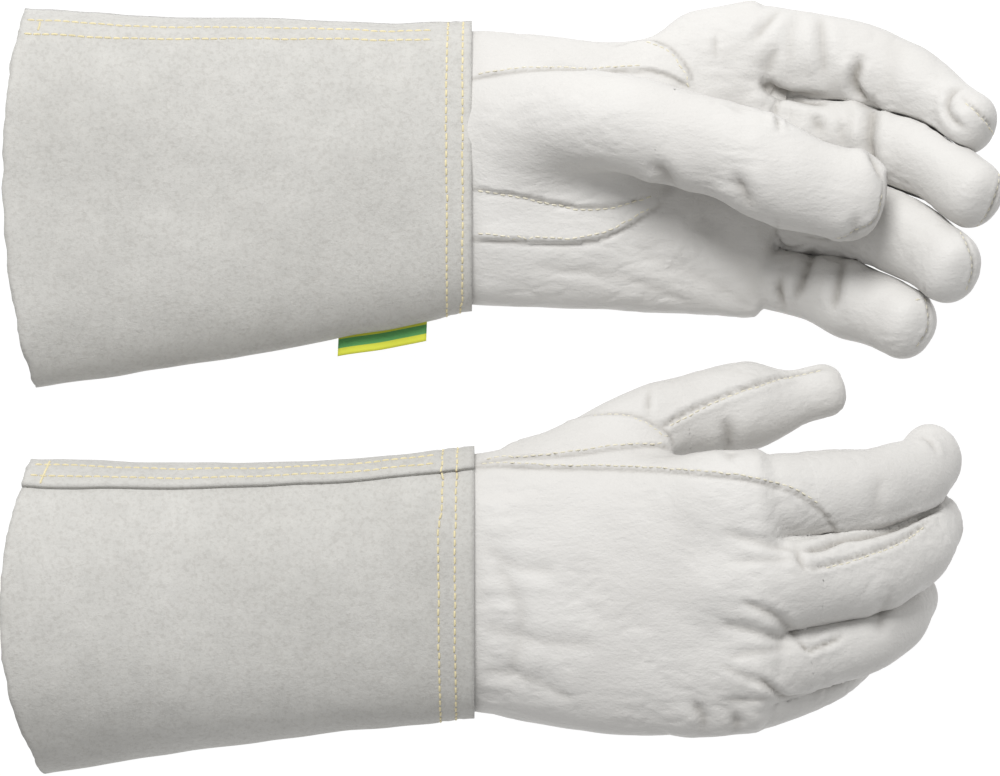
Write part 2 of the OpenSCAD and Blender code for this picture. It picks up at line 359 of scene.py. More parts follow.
# Where the thumb's sleeve starts inside the hand, its half width there, and how far before the thumb's
# base its curve turns
THUMB_ROOT = {"left": ((10, 15, -3), 18, 30), "right": ((10, 22.5, -2), 16, 8)}
ROOT_POINTS = 24  # points of that curve
FLATNESS = 0.88  # height of a digit over its width
TIP = 0.86  # how long a digit's rounded end is over its half width
FULLNESS = 2.5  # how square that end is, 2 being round
BEND = 9.0  # half the length over which a digit's joint bends
BACK_RUN = 26.0  # how far a finger's spine runs back into the hand
BACK_TAPER = 0.3  # how much narrower it is there
BLEND = {"finger": 9.0, "thumb": 16.0}  # how softly a digit runs into the hand
PARTING = {"finger": (-8.0, 7.0), "thumb": (2.0, 14.0)}  # where that comes to an end
CUT = {"finger": 7.0, "thumb": 6.0}  # where a digit's skin parts from the hand's
SOFT_RUN = 20.0  # length of skin that bends at a digit's base
HEM, TUCK = 3, 0.5  # width of a digit's hem, and how deep under the hand's skin it goes
GAP = 0.5  # between two digits that touch
NEAR = 36  # no part of a digit is as far from its spine's box
STUMP = 40.0  # how fast a digit is cut short in the skin of the hand


def joint(name):
    return next(j for j in frame["joints"] if j["name"] == name)


def to_part(hand, points):
    """Millimetres in the glove's own frame to metres in the part's frame."""
    q = np.array(points, float)
    if hand == "left":
        q[..., 2] *= -1
    return (q + ORIGIN[hand]) * MM


def to_glove(hand, place):
    q = np.array(place, float) / MM - ORIGIN[hand]
    if hand == "left":
        q[2] *= -1
    return q


def per_bone(s, values, bones, ease=BEND):
    """A value for each bone of a digit, eased from one to the next."""
    a, b, c = values
    first = soft((s - bones[0] + ease) / (2 * ease))
    second = soft((s - bones[0] - bones[1] + ease) / (2 * ease))
    return a + (b - a) * first + (c - b) * second


class Digit:
    """A finger or thumb: a bent spine with a ring of leather round each of its points."""

    STEP = 1.5

    def __init__(self, hand, name):
        shift, turns, slopes, bones, widths = DIGIT[hand][name]
        hinge = joint(f"{hand}_{name}_flex")
        axis = unit(np.array(hinge["axis"], float) * ((-1, -1, 1) if hand == "left" else (1, 1, 1)))
        base = to_glove(hand, hinge["pos_m"]) + axis * shift
        self.hand, self.name = hand, name
        self.kind = "thumb" if name == "thumb" else "finger"
        self.cut = CUT[self.kind]
        before = int(BACK_RUN / self.STEP) if self.kind == "finger" else 0
        s = np.arange(-before, int(round(sum(bones) / self.STEP)) + 1) * self.STEP
        keep = 1 - soft(-s / BACK_RUN)  # the bend fades out inside the hand
        turn = np.radians(per_bone(s, turns, bones)) * keep
        slope = np.radians(per_bone(s, slopes, bones)) * keep
        heading = np.stack([np.cos(slope) * np.cos(turn), np.cos(slope) * np.sin(turn), -np.sin(slope)], 1)
        middle = unit(heading[1:] + heading[:-1])
        points = np.concatenate([[np.zeros(3)], np.cumsum(middle * self.STEP, 0)])
        points = points - points[before] + base
        wide = per_bone(s, widths, bones, ease=12) * (1 - BACK_TAPER * (1 - keep))
        if self.kind == "thumb":
            root, root_wide, lead = THUMB_ROOT[hand]
            t = np.linspace(0, 1, ROOT_POINTS, endpoint=False)[:, None]
            bend = base - heading[0] * lead
            ball = (1 - t) ** 2 * np.array(root, float) + 2 * t * (1 - t) * bend + t ** 2 * base
            points = np.concatenate([ball, points])
            s = run_of(points)
            s = s - s[ROOT_POINTS]
            heading = unit(np.gradient(points, axis=0))
            ball_wide = wide[0] + (root_wide - wide[0]) * soft(-s[:ROOT_POINTS] / 50)
            wide = np.concatenate([ball_wide, wide])
        side = axis if self.kind == "finger" else np.array([0, 1.0, 0])
        self.s, self.points, self.heading, self.wide = s, points, heading, wide
        self.side = unit(side - heading * (heading @ side)[:, None])
        self.out = np.cross(heading, self.side)

    def locate(self, points):
        """Nearest spine point, length along the digit, and offsets sideways, outward and past the end."""
        best = np.full(len(points), 1e9)
        index = np.zeros(len(points), int)
        for i, centre in enumerate(self.points):
            d = ((points - centre) ** 2).sum(1)
            closer = d < best
            best[closer] = d[closer]
            index[closer] = i
        v = points - self.points[index]
        along = (v * self.heading[index]).sum(1)
        a = (v * self.side[index]).sum(1)
        b = (v * self.out[index]).sum(1)
        s = self.s[index] + along
        past = np.where(index == len(self.s) - 1, np.maximum(along, 0), 0)
        past = past + np.where(index == 0, np.minimum(along, 0), 0)
        return s, a, b, past

    def field(self, points):
        """Roughly the distance outside the digit's skin."""
        s, a, b, past = self.locate(points)
        wide = np.interp(s, self.s, self.wide)
        across = np.sqrt((a / wide) ** 2 + (b / (wide * FLATNESS)) ** 2)
        rho = (across ** FULLNESS + np.abs(past / (wide * TIP)) ** FULLNESS) ** (1 / FULLNESS) + 1e-9
        r = np.sqrt(a * a + b * b + past * past)
        return r - r / rho

    def stump(self, s):
        """What ends the digit just past its cut, where only the hand's skin is drawn."""
        return STUMP * soft((s - self.cut - 2) / 14)


def stations(hand, x):
    """The hand's outline at each x, without corners at its stations."""
    table = np.array(HAND[hand], float)
    total = 0
    for shift, weight in zip((-8, -4, 0, 4, 8), (1, 3, 4, 3, 1)):
        total = total + weight / 12 * between(x + shift, table[:, 0], table[:, 1:]).T
    return total


def hand_field(hand, points):
    x = points[:, 0]
    yc, zc, wide, back, palm, square, tilt = stations(hand, np.minimum(x, HAND_END[hand]))
    tilt = np.radians(tilt)
    y0, z0 = points[:, 1] - yc, points[:, 2] - zc
    y = y0 * np.cos(tilt) + z0 * np.sin(tilt)
    z = z0 * np.cos(tilt) - y0 * np.sin(tilt)
    high = np.where(z > 0, back, palm)
    past = np.maximum(x - HAND_END[hand], 0)
    rho = ((np.abs(y) / wide) ** square + (np.abs(z) / high) ** square) ** (1 / square)
    rho = np.sqrt(rho ** 2 + (past / HAND_ROUND) ** 2) + 1e-9
    r = np.sqrt(y * y + z * z + past * past)
    return r - r / rho


class Glove:
    """The field of one glove: the hand, and each digit run smoothly into it."""

    def __init__(self, hand):
        self.hand = hand
        self.digits = [Digit(hand, name) for name in DIGITS]
        self.view = -1 if hand == "left" else 1  # the side that faces up

    def run(self, k, s):
        """How softly digit k runs into the hand at each length along it."""
        return 1 + (BLEND[self.digits[k].kind] - 1) * (1 - self.parted(k, s))

    def parted(self, k, s):
        start, end = PARTING[self.digits[k].kind]
        return soft((s - start) / (end - start))

    def own(self, points, stumps=False):
        """The hand joined to each digit on its own, one column a digit; stumps end past their cut."""
        body = hand_field(self.hand, points)
        columns = []
        for k, d in enumerate(self.digits):
            own = body.copy()
            low, high = d.points.min(0) - NEAR, d.points.max(0) + NEAR
            near = ((points > low) & (points < high)).all(1)
            if near.any():
                alone, s = d.field(points[near]), d.locate(points[near])[0]
                if stumps:
                    alone = alone + d.stump(s)
                own[near] = soft_min(body[near], alone, self.run(k, s))
            columns.append(own)
        return np.stack(columns, 1)

    def union(self, points):
        return self.own(points).min(1)

    def palm_and_back(self, points):
        return self.own(points, stumps=True).min(1)

    def lone(self, k):
        """The field of digit k: closed where it leaves the hand, pressed flat where it meets another."""
        def field(points):
            alone = np.stack([d.field(points) for d in self.digits], 1)
            s = self.digits[k].locate(points)[0]
            joined = soft_min(hand_field(self.hand, points), alone[:, k], self.run(k, s))
            mine = joined + (alone[:, k] - joined) * self.parted(k, s)
            free = soft((s - self.digits[k].cut + 1) / 6)
            pressed = (alone[:, k] - np.delete(alone, k, 1).min(1) + GAP) / 2
            return np.where(free > 0, np.maximum(mine, pressed - 6 * (1 - free)), mine)
        return field

    def drape(self, line, side=None):
        """Points of the skin over each (x, y) of a line, on the side that faces up unless told."""
        side = side or self.view
        xy = np.array(line, float)
        z = np.full(len(xy), 80.0 * side)  # from well outside, down by most of the distance each time
        done = np.zeros(len(xy), bool)
        for _ in range(160):
            value = self.union(np.column_stack([xy, z]))
            done |= value < 0.02
            z = np.where(done, z, z - side * np.clip(value * 0.7, 0.05, 4))
            if done.all():
                break
        return np.column_stack([xy, z])[done]


def gradient(field, points):
    value = field(points)
    e = 0.2
    slope = np.stack([field(points + np.eye(3)[i] * e) - value for i in range(3)], 1) / e
    return value, slope


def settle(field, points):
    """Moves points towards the field's surface, by 1.2 mm at the most."""
    value, slope = gradient(field, points)
    slope = slope / np.maximum((slope ** 2).sum(1), 0.2)[:, None]
    move = -slope * value[:, None]
    size = np.linalg.norm(move, axis=1)[:, None]
    return points + move * np.minimum(1, 1.2 / np.maximum(size, 1e-9))


# -------------------- from a field to a mesh

def surface_net(values, origin, step):
    """Vertices and quads where a sampled field is zero."""
    # A cell's vertex is the middle of the places where the surface crosses the cell's edges
    spot = np.zeros(tuple(n - 1 for n in values.shape) + (3,))
    count = np.zeros(spot.shape[:3])
    for axis in range(3):
        u, v = [i for i in range(3) if i != axis]
        for ou, ov in ((0, 0), (0, 1), (1, 0), (1, 1)):
            low, high = [slice(None)] * 3, [slice(None)] * 3
            low[axis], high[axis] = slice(0, -1), slice(1, None)
            for o, k in ((ou, u), (ov, v)):
                low[k] = high[k] = slice(o, values.shape[k] - 1 + o)
            a, b = values[tuple(low)], values[tuple(high)]
            cross = (a < 0) != (b < 0)
            spot[..., axis] += np.where(cross, a / np.where(cross, a - b, 1), 0)
            spot[..., u] += ou * cross
            spot[..., v] += ov * cross
            count += cross
    used = count > 0
    ids = np.full(used.shape, -1)
    ids[used] = np.arange(used.sum())
    verts = (np.argwhere(used) + spot[used] / count[used][:, None]) * step + origin
    inside = values < 0
    quads = []  # one round each edge that the surface crosses
    for axis, b, c in ((0, 1, 2), (1, 2, 0), (2, 0, 1)):
        low, high = [slice(None)] * 3, [slice(None)] * 3
        low[axis], high[axis] = slice(0, -1), slice(1, None)
        for k in (b, c):
            low[k] = high[k] = slice(1, -1)
        near, far = inside[tuple(low)], inside[tuple(high)]
        start = np.argwhere(near != far)
        out = near[near != far]
        start[:, b] += 1
        start[:, c] += 1
        corners = []
        for db, dc in ((-1, -1), (0, -1), (0, 0), (-1, 0)):
            at = start.copy()
            at[:, b] += db
            at[:, c] += dc
            corners.append(ids[at[:, 0], at[:, 1], at[:, 2]])
        q = np.stack(corners, 1)
        q[~out] = q[~out][:, ::-1]
        quads.append(q)
    return verts, np.concatenate(quads)


def relax(verts, quads):
    """Moves each vertex half of the way to the middle of its neighbours."""
    total, count = np.zeros_like(verts), np.zeros(len(verts))
    for i in range(4):
        a, b = quads[:, i], quads[:, (i + 1) % 4]
        for p, q in ((a, b), (b, a)):
            np.add.at(total, p, verts[q])
            np.add.at(count, p, 1)
    return verts + (total / np.maximum(count, 1)[:, None] - verts) * 0.5


def split_quads(verts, quads):
    """Each quad becomes four."""
    edges = np.concatenate([np.stack([quads[:, i], quads[:, (i + 1) % 4]], 1) for i in range(4)])
    keys = np.sort(edges, 1)
    pairs, index = np.unique(keys, axis=0, return_inverse=True)
    index = index.reshape(4, -1).T + len(verts)
    centre = np.arange(len(quads)) + len(verts) + len(pairs)
    new = np.concatenate([verts, verts[pairs].mean(1), verts[quads].mean(1)])
    out = [np.stack([quads[:, i], index[:, i], centre, index[:, i - 1]], 1) for i in range(4)]
    return new, np.concatenate(out)


def normals_of(verts, quads):
    n = np.cross(verts[quads[:, 2]] - verts[quads[:, 0]], verts[quads[:, 3]] - verts[quads[:, 1]])
    total = np.zeros_like(verts)
    for i in range(4):
        np.add.at(total, quads[:, i], n)
    return unit(total)


LATTICE = 2.4


def mesh_of(field, low, high):
    """A quad mesh of a field's surface, at half the lattice's spacing."""
    origin = np.floor(np.array(low) / LATTICE) * LATTICE
    axes = [np.arange(origin[i], high[i] + LATTICE, LATTICE) for i in range(3)]
    grid = np.stack(np.meshgrid(*axes, indexing="ij"), -1)
    values = field(grid.reshape(-1, 3)).reshape(grid.shape[:3])
    verts, quads = surface_net(values, origin, LATTICE)
    verts = settle(field, relax(settle(field, verts), quads))
    verts, quads = split_quads(verts, quads)
    return settle(field, verts), quads


# -------------------- what is sewn and folded into the skin
# Each line is given as it is seen from above, (x, y) in the glove's own frame, in the order it runs.

# Where one cut piece laps over another: line, height, width of the painted shadow under its edge, side that
# stands higher (1 is the thumb side of a line that runs to the tips)
STEPS = {
    "left": [
        ([(-8, 33), (20, 35.8), (41, 36.3), (60, 37), (66, 36.3), (72, 34), (78.5, 30)], 0.8, 0.8, 1),
        ([(50, 45), (61, 47.7), (68.6, 45.6), (73.8, 40.4), (76.9, 35.2), (78.5, 31)], 1.1, 0.9, -1),
        ([(-8, -4), (15, -7.2), (30, -10.4), (41, -11.9), (51, -10.9), (63, -7.2)], 1, 0.8, 1),
        ([(-8, -22.5), (20, -24), (35.5, -24.4), (47, -22.3), (56, -18.1), (63.4, -13), (69, -9)],
         1.3, 0.9, 1),
    ],
    "right": [
        ([(-8, 41), (30, 40), (45, 40.1), (60, 39.5), (75, 38.5), (90, 37.2), (101.6, 35), (111.5, 32),
          (119.5, 27), (124.5, 22), (128.5, 15)], 0.8, 0.8, 1),
        ([(8, 45), (30, 54.3), (40, 57.3), (53, 58.3), (61, 55.8), (67.9, 51.4), (70.9, 46.5)], 1.2, 0.9, -1),
        ([(-2, 41.5), (30, 44), (50, 46.9), (62.9, 47.7), (70.9, 46.1)], 0.9, 0.8, 1),
    ],
}

# Creases, and seams that are turned in: line, depth, width
GROOVES = {
    "left": [
        ([(111, 28), (108, 23.8), (107.2, 19.7), (107.4, 13)], 1.2, 1),
        ([(107, -16), (108, -21.8), (111, -25.4), (115.3, -25.9), (119.4, -24.4)], 1, 0.9),
        ([(110, -35), (109.3, -42), (111.6, -49)], 2.2, 1.7),
        ([(101, 33), (109, 29.3), (118, 26.8), (127, 25)], 2.4, 2.2),
        ([(110, 59), (103.5, 52), (98.5, 45.5)], 1.1, 1.7),
        ([(87, 51), (86.2, 46), (86.5, 39)], 0.6, 1.1),
        ([(109, 46), (106, 40), (104, 34)], 1.2, 2.2),
        ([(116, 58), (113, 48), (113, 36)], 0.7, 2.4),
        ([(124, 57), (124.4, 45), (125, 33)], 1.2, 2),
        ([(138, 42), (135.6, 33), (137.5, 28), (141.5, 23.5)], 2.6, 1.8),
        ([(151, 48), (148, 36), (147, 24)], 0.8, 4.5),
        ([(174, 31), (169, 27.5), (167.5, 22), (170.7, 17.3), (175, 14.5)], 1.3, 1.4),
        ([(172.5, 26.6), (179, 20.5), (187, 11.5)], 1.1, 0.8),
        ([(142.5, 26), (140.3, 12.4), (141.1, 5.2), (144.5, -4)], 2.4, 2.2),
        ([(121.5, 22), (124, 12)], 1.9, 2.4),
        ([(131, 20), (131, 8)], 0.9, 2.2),
        ([(134, -14), (134.5, -27)], 1, 2.4),
        ([(122, -26), (118, -36), (114.5, -46)], 2, 1.9),
        ([(132, -28), (129.5, -38), (127.5, -50)], 2, 2.2),
        ([(62, 3), (67, -1), (71, -8)], 2.2, 3.2),
        ([(91, -1), (95, -8), (98, -15)], 2, 3),
        ([(97, 30), (92, 18)], 0.8, 4),
        ([(187, 4), (183.7, -9.5), (180.4, -16.8), (175, -22.5)], 0.8, 0.8),
        ([(171, -19), (175.2, -29), (176, -35.4), (173.5, -43)], 0.8, 0.8),
        ([(158.5, -38.5), (160.9, -48.4), (160.6, -55.7), (156, -63)], 0.8, 0.8),
        ([(144, -5), (142.3, -15.2), (137.4, -20), (131.7, -23), (124.4, -23.6), (117, -22)], 0.8, 0.8),
        ([(78, -14), (96, -32), (104, -46)], 1, 5.5),
        ([(58, -28), (84, -38), (102, -49)], 0.45, 2.6),
        ([(20, -33), (52, -37), (80, -47)], 0.4, 2.2),
    ],
    "right": [
        ([(64, 53), (75, 59.5), (84.6, 63.8), (91.7, 66.6), (104.4, 70.8), (114.3, 72.9), (126, 75.6)],
         1.1, 0.9),
        ([(113, 11), (121, 12), (128.5, 15), (139.3, 16.6), (154.2, 21.1), (166, 27)], 2, 1.3),
        ([(114, 6), (120, 5.5), (134.3, 9.2), (149.2, 14.2), (162, 22)], 1, 0.8),
        ([(112, 14), (113, 8.5), (116, 3)], 1.3, 1.4),
        ([(92, -6), (104, -11), (110, -16.5), (114, -21)], 1.1, 1.6),
        ([(112, -19), (116.5, -23.4), (122, -22), (130, -18.8)], 1.2, 1),
        ([(98, -32), (104, -36.8), (108, -40), (116, -39)], 1.3, 1.2),
        ([(84, -14), (98, -17), (111, -20.5)], 0.8, 1.7),
        ([(86, -26), (99, -24), (111, -22)], 0.6, 1.6),
        ([(84, -28), (96, -33), (106, -39)], 0.6, 1.4),
        ([(86, -41), (96, -41), (106, -40)], 0.6, 1.4),
        ([(86, 18), (100, 14), (114, 10)], 0.7, 1.8),
        ([(88, 8), (100, 8), (113, 8)], 0.5, 1.5),
        ([(76, -40), (80, -48), (79, -56)], 1.4, 2),
        ([(90, -44), (92, -50), (90, -57)], 1.6, 2.2),
        ([(88, 58), (90, 50), (89, 42)], 1.6, 2.4),
        ([(62, 69), (61, 63), (61.3, 57)], 0.9, 1.2),
        ([(157, 52), (162, 49), (164, 44)], 1, 1.6),
        ([(147, -2), (143, -12), (143, -20)], 0.8, 2.4),
        ([(144, 38), (141, 30), (141, 20)], 0.6, 3),
        ([(8, 8), (16, -12), (12, -36)], 0.8, 3),
        ([(2, -14), (22, -20), (44, -22)], 0.7, 3),
        ([(2, -30), (20, -34), (36, -42)], 0.7, 2.8),
        ([(2, 14), (14, 6), (30, 4)], 0.6, 2.6),
    ],
}

# Rows of thread: name, line, sideways offset from it in mm, digit that it reaches, and 1 if it is on the side
# of the glove that faces up
SEWN = {
    "left": [
        ("gusset_upper_thread", [(2, 33.7), (20, 35.8), (41, 36.3), (60, 37)], 1.4, None, 1),
        ("gusset_end_thread", [(61, 47.7), (68.6, 45.6), (73.8, 40.4), (76.9, 35.2), (78.5, 31)],
         -1.5, None, 1),
        ("thumb_panel_thread", [(2, -5.2), (15, -7.2), (30, -10.4), (41, -11.9), (51, -10.9), (63, -7.2)],
         -1.1, None, 1),
        ("palm_welt_thread", [(2, -22.9), (20, -24), (35.5, -24.4), (47, -22.3), (56, -18.1), (63.4, -13)],
         1.6, None, 1),
        ("index_tip_thread", [(174, 25.2), (179, 20.5), (186, 12.5)], -0.9, "index", 1),
        ("middle_tip_thread", [(186, 2), (183.7, -9.5), (180.4, -16.8), (176, -21.5)], -0.9, "middle", 1),
        ("ring_tip_thread", [(172, -21), (175.2, -29), (176, -35.4), (174, -42)], -0.9, "ring", 1),
        ("little_tip_thread", [(159, -40), (160.9, -48.4), (160.6, -55.7), (157, -62)], -0.9, "little", 1),
        ("thumb_tip_thread", [(143.6, -8), (142.3, -15.2), (137.4, -20), (131.7, -23), (124.4, -23.6),
          (119, -22.6)], -0.9, "thumb", 1),
        ("back_seam_thread", [(2, 40), (30, 40), (60, 39.5), (90, 37.2)], 0.9, None, -1),
    ],
    "right": [
        ("back_seam_thread", [(2, 41), (30, 40), (45, 40.1), (60, 39.5), (75, 38.5), (90, 37.2),
          (101.6, 35), (111.5, 32), (119.5, 27)], 0.9, "index", 1),
        ("gusset_upper_thread", [(16, 49), (30, 54.3), (40, 57.3), (53, 58.3), (61, 55.8), (67.9, 51.4)],
         -1.5, None, 1),
        ("gusset_lower_thread", [(4, 41.9), (30, 44), (50, 46.9), (66, 47.4)], 1.1, None, 1),
        ("thumb_seam_thread", [(68, 55.5), (84.6, 63.8), (91.7, 66.6), (104.4, 70.8), (114.3, 72.9),
          (123, 75)], -0.9, "thumb", 1),
        ("middle_side_thread", [(122, 5.9), (134.3, 9.2), (149.2, 14.2), (158, 19.5)], -1, "middle", 1),
    ],
}
REACH, FADE = 13.0, 7.0  # how far a fold acts, and the length over which its ends fade, in mm


def across(points, normals, line, turn):
    """How far points are from a line on the skin, signed by the side, and how fully it acts on them."""
    distance, full = np.full(len(points), 99.0), np.zeros(len(points))
    near = np.flatnonzero(((points > line.min(0) - REACH) & (points < line.max(0) + REACH)).all(1))
    if len(near):
        v = points[near][:, None] - line[None]
        d2 = (v ** 2).sum(2)
        i = d2.argmin(1)
        tangent = unit(np.gradient(line, axis=0))[i]
        v = v[np.arange(len(i)), i]
        side = np.sign((np.cross(tangent, normals[near]) * v).sum(1)) * turn
        deep = np.abs((v * normals[near]).sum(1))  # it doesn't act through to the other side
        distance[near] = np.sqrt(d2.min(1)) * np.where(side == 0, 1, side)
        full[near] = soft((np.minimum(i, len(line) - 1 - i) + 1) / FADE) * soft((9 - deep) / 5)
    return distance, full


def step_shape(d, height, width, high_side):
    """Rise in mm, and painted shadow under a lapped edge, from the distance to its line."""
    up = d * high_side
    rise = height * (0.5 + 0.5 * np.tanh(up / 0.55)) * np.exp(-np.maximum(up, 0) / 9)
    return rise - 0.45 * height * hill(up + 0.9, 0.9), 0.55 * hill(up + 0.5, width)


def groove_shape(d, depth, width):
    """Rise in mm and painted shade in a crease, whose leather bulges beside it, from the distance to its
    line.
    """
    bulge = depth * 0.45 * hill(np.abs(d) - 2.3 * width, 1.4 * width)
    dark = min(1, 0.75 * depth / width) * hill(d, 0.7 * width)
    return bulge - depth * np.exp(-(np.abs(d) / width) ** 1.6), dark


class Relief:
    """Everything that is sewn, folded or creased into one glove's skin."""

    def __init__(self, glove):
        self.glove = glove
        self.folds = []
        for shape, table in ((step_shape, STEPS), (groove_shape, GROOVES)):
            for line, *sizes in table[glove.hand]:
                draped = glove.drape(curve(line))
                if len(draped) > 4:
                    self.folds.append((shape, draped, sizes))

    def apply(self, points, normals, past_cut):
        """Displacement along the normal, in mm, and painted shade in folds and under lapped edges, for points
        of the bare skin.
        """
        hand, view = self.glove.hand, self.glove.view
        shift, dark = np.zeros(len(points)), np.zeros(len(points))
        for shape, line, sizes in self.folds:
            d, full = across(points, normals, line, -view)
            move, shade = shape(d, *sizes)
            shift += move * full
            dark = np.maximum(dark, shade * full)
        on_digit = soft((past_cut + 13) / 20)
        # Broad and smaller unevenness
        shift += NOISE(points, 34) * 0.9 * (1 - 0.5 * on_digit)
        shift += NOISE(points + 50, 13) * 0.32
        # Fine lines along the glove, in patches
        grain_way = np.array([0.35 if hand == "left" else 0.5, 1.0, 1.0])
        lines = 1 - np.abs(NOISE(points * grain_way + 90, 4.6))
        where = soft(NOISE(points + 130, 26) * 1.6 + 0.35)
        shift -= 0.42 * lines ** 6 * where
        # Wrinkles before the fingers
        knuckles = hill(points[:, 0] - 96, 24) * (1 - on_digit)
        shift -= 0.35 * knuckles * (1 - np.abs(NOISE(points * [0.6, 1, 1] + 20, 6))) ** 5
        # Gathers that the elastic makes at the wrist, and plain leather where the cuff covers it
        gathers = soft((34 - points[:, 0]) / 30) * soft((points[:, 0] + 4) / 8)
        gathers = gathers * (0.9 if hand == "right" else 0.35)
        shift += gathers * NOISE(points * [0.30, 1, 1] + 70, 7)
        wrist = soft((6 - points[:, 0]) / 8)
        shift = shift * (1 - wrist) - 0.3 * wrist
        return shift, np.clip(dark, 0, 1)


# -------------------- skins of the hand and its digits

def add_skins(glove):
    """The hand's skin and one skin for each digit, parted past the hinge; returns them by name."""
    hand = glove.hand
    relief = Relief(glove)
    spines = np.concatenate([d.points for d in glove.digits])
    low = np.minimum(spines.min(0), [0, -54, -26]) - 19
    high = np.maximum(spines.max(0), [100, 54, 36]) + 19
    low[0] = HAND_START - LATTICE
    parts = {"hand": shaped(glove, relief, glove.palm_and_back, low, high, None)}
    for k, d in enumerate(glove.digits):
        ahead = d.points[d.s > d.cut - 12]
        parts[d.name] = shaped(glove, relief, glove.lone(k), ahead.min(0) - 21, ahead.max(0) + 21, k)
    skins = {}
    for name, (verts, quads, dark, normals) in parts.items():
        faces = quads[:, ::-1] if hand == "left" else quads
        skin = make_object(f"{hand}_{name}_skin", to_part(hand, verts), faces)
        # the crease attribute holds the painted shade of folds and lapped edges, which darkens the leather's
        # colour
        set_attribute(skin, "crease", dark)
        n = normals * ([1, 1, -1] if hand == "left" else [1, 1, 1])
        skin.data.normals_split_custom_set_from_vertices([tuple(v) for v in n])
        skins[name] = skin
    return skins


def shaped(glove, relief, field, low, high, k):
    """One skin with its relief, of the hand or of digit k: vertices, quads, painted shade and normals."""
    verts, quads = mesh_of(field, low, high)
    nearest = glove.own(verts, stumps=True).argmin(1) if k is None else np.full(len(verts), k)
    body = hand_field(glove.hand, verts)
    past_cut, outside = np.zeros(len(verts)), np.zeros(len(verts))
    for i, d in enumerate(glove.digits):
        mine = nearest == i
        s = d.locate(verts[mine])[0]
        past_cut[mine] = s - d.cut
        outside[mine] = body[mine] - d.field(verts[mine]) - d.stump(s)
    _, slope = gradient(field, verts)
    normals = unit(slope)
    shift, dark = relief.apply(verts, normals, past_cut)
    past = past_cut[quads].mean(1)
    # The hand's skin ends at each digit's cut, and the digit's own starts there, with its hem tucked under
    if k is None:
        kept = ((past < 0) | (outside[quads].mean(1) < 0)) & (verts[quads][:, :, 0].mean(1) > HAND_START)
    else:
        kept, hem = past >= 0, (past < 0) & (past > -HEM)
        owned = np.zeros(len(verts), bool)
        owned[quads[kept]] = True
        shift = np.where(owned, shift, shift - TUCK)
        kept = kept | hem
    verts = verts + normals * shift[:, None]
    whole = normals_of(verts, quads)  # of the skin before it is parted, so that no seam shows
    used, index = np.unique(quads[kept], return_inverse=True)
    return verts[used], index.reshape(-1, 4), dark[used], whole[used]


def blend_digit(obj, digit):
    """Bakes obj's placement into its mesh; the span from the digit's cut to the end of the skin that bends is
    worked out but not used.
    """
    hand = digit.hand
    start, end = to_part(hand, between([digit.cut, digit.cut + SOFT_RUN], digit.s, digit.points))
    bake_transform(obj)


# -------------------- thread

JUMP = 4.0  # a step this many times the usual one is a gap in a line
HAND_STITCH, CUFF_STITCH = (2.1, 0.5, 0.3), (2.8, 0.3, 0.4)  # length, gap to the next and radius, in mm
# Places along a stitch from its middle, -1 to 1, and how thick it is there
STITCH_PROFILE = [(-1.0, 0.5), (-0.84, 0.85), (-0.4, 1.0), (0.4, 1.0), (0.84, 0.85), (1.0, 0.5)]


def add_stitches(name, places, normals, stitch):
    """Separate stitches along a line on a surface; places and normals in the part's frame."""
    length, gap, radius = stitch
    run = run_of(places)
    step = np.diff(run)
    pitch = (length + gap) * MM
    count = max(1, int(run[-1] / pitch))
    verts, faces, holes = [], [], []
    sides, rings = 6, len(STITCH_PROFILE)
    for i in range(count):
        mid = (i + 0.5) * run[-1] / count
        if np.interp(mid, run[1:], step) > JUMP * np.median(step):
            continue  # the line leaps here from one skin to another
        wobble = np.random.default_rng(i).normal(size=2)
        ends = [between(mid + o * length * MM / 2, run, places) for o in (-1, 1)]
        n = unit(between(mid, run, normals))
        t = unit(ends[1] - ends[0])
        b = unit(np.cross(n, t) + t * 0.05 * wobble[0])
        centre = (ends[0] + ends[1]) / 2 + b * 0.08 * MM * wobble[1]
        base = len(verts)
        for u, r in STITCH_PROFILE:
            arch = (0.12 - 0.35 * u * u) * MM
            # how far each ring is into the painted shade of the stitch hole at its end
            holes += [abs(u) ** 6] * sides
            for j in range(sides):
                a = 2 * np.pi * j / sides
                verts.append(centre + t * u * length * MM / 2 + n * arch
                             + (n * np.cos(a) + b * np.sin(a)) * r * radius * MM)
        for k in range(rings - 1):
            for j in range(sides):
                p, q = base + k * sides + j, base + k * sides + (j + 1) % sides
                faces.append((p, p + sides, q + sides, q))
        faces.append(tuple(base + j for j in range(sides)))
        faces.append(tuple(base + (rings - 1) * sides + j for j in reversed(range(sides))))
    thread = make_object(name, verts, faces)
    set_attribute(thread, "hole", holes)
    return thread


def surface_line(trees, points):
    """Points moved onto the nearest of the surfaces, with the normals there."""
    places, normals = [], []
    for p in points:
        best = min((t.find_nearest(Vector(p)) for t in trees), key=lambda hit: hit[3])
        places.append(np.array(best[0]))
        normals.append(np.array(best[1]))
    return np.array(places), np.array(normals)


def tree_of(obj):
    mesh = obj.data
    return BVHTree.FromPolygons([v.co for v in mesh.vertices], [tuple(p.vertices) for p in mesh.polygons])


def add_hand_threads(glove, skins, material):
    hand = glove.hand
    trees = {name: tree_of(skin) for name, skin in skins.items()}
    for name, line, offset, digit, facing in SEWN[hand]:
        side = glove.view * facing
        seam = glove.drape(curve(line), side)
        tangent = unit(np.gradient(seam, axis=0))
        row = seam + unit(np.cross(tangent, [0, 0, side])) * offset * -side
        near = [] if "tip" in name else [trees["hand"]]
        if digit:
            near.append(trees[digit])
        places, normals = surface_line(near, to_part(hand, row))
        thread = add_stitches(f"{hand}_{name}", places, normals, HAND_STITCH)
        dress(thread, material)
        if digit:
            blend_digit(thread, next(d for d in glove.digits if d.name == digit))
        else:
            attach(thread, f"{hand}_hand")
        if name == "back_seam_thread":
            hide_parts(f"{hand}_back_seam_stitching")


# -------------------- cuffs

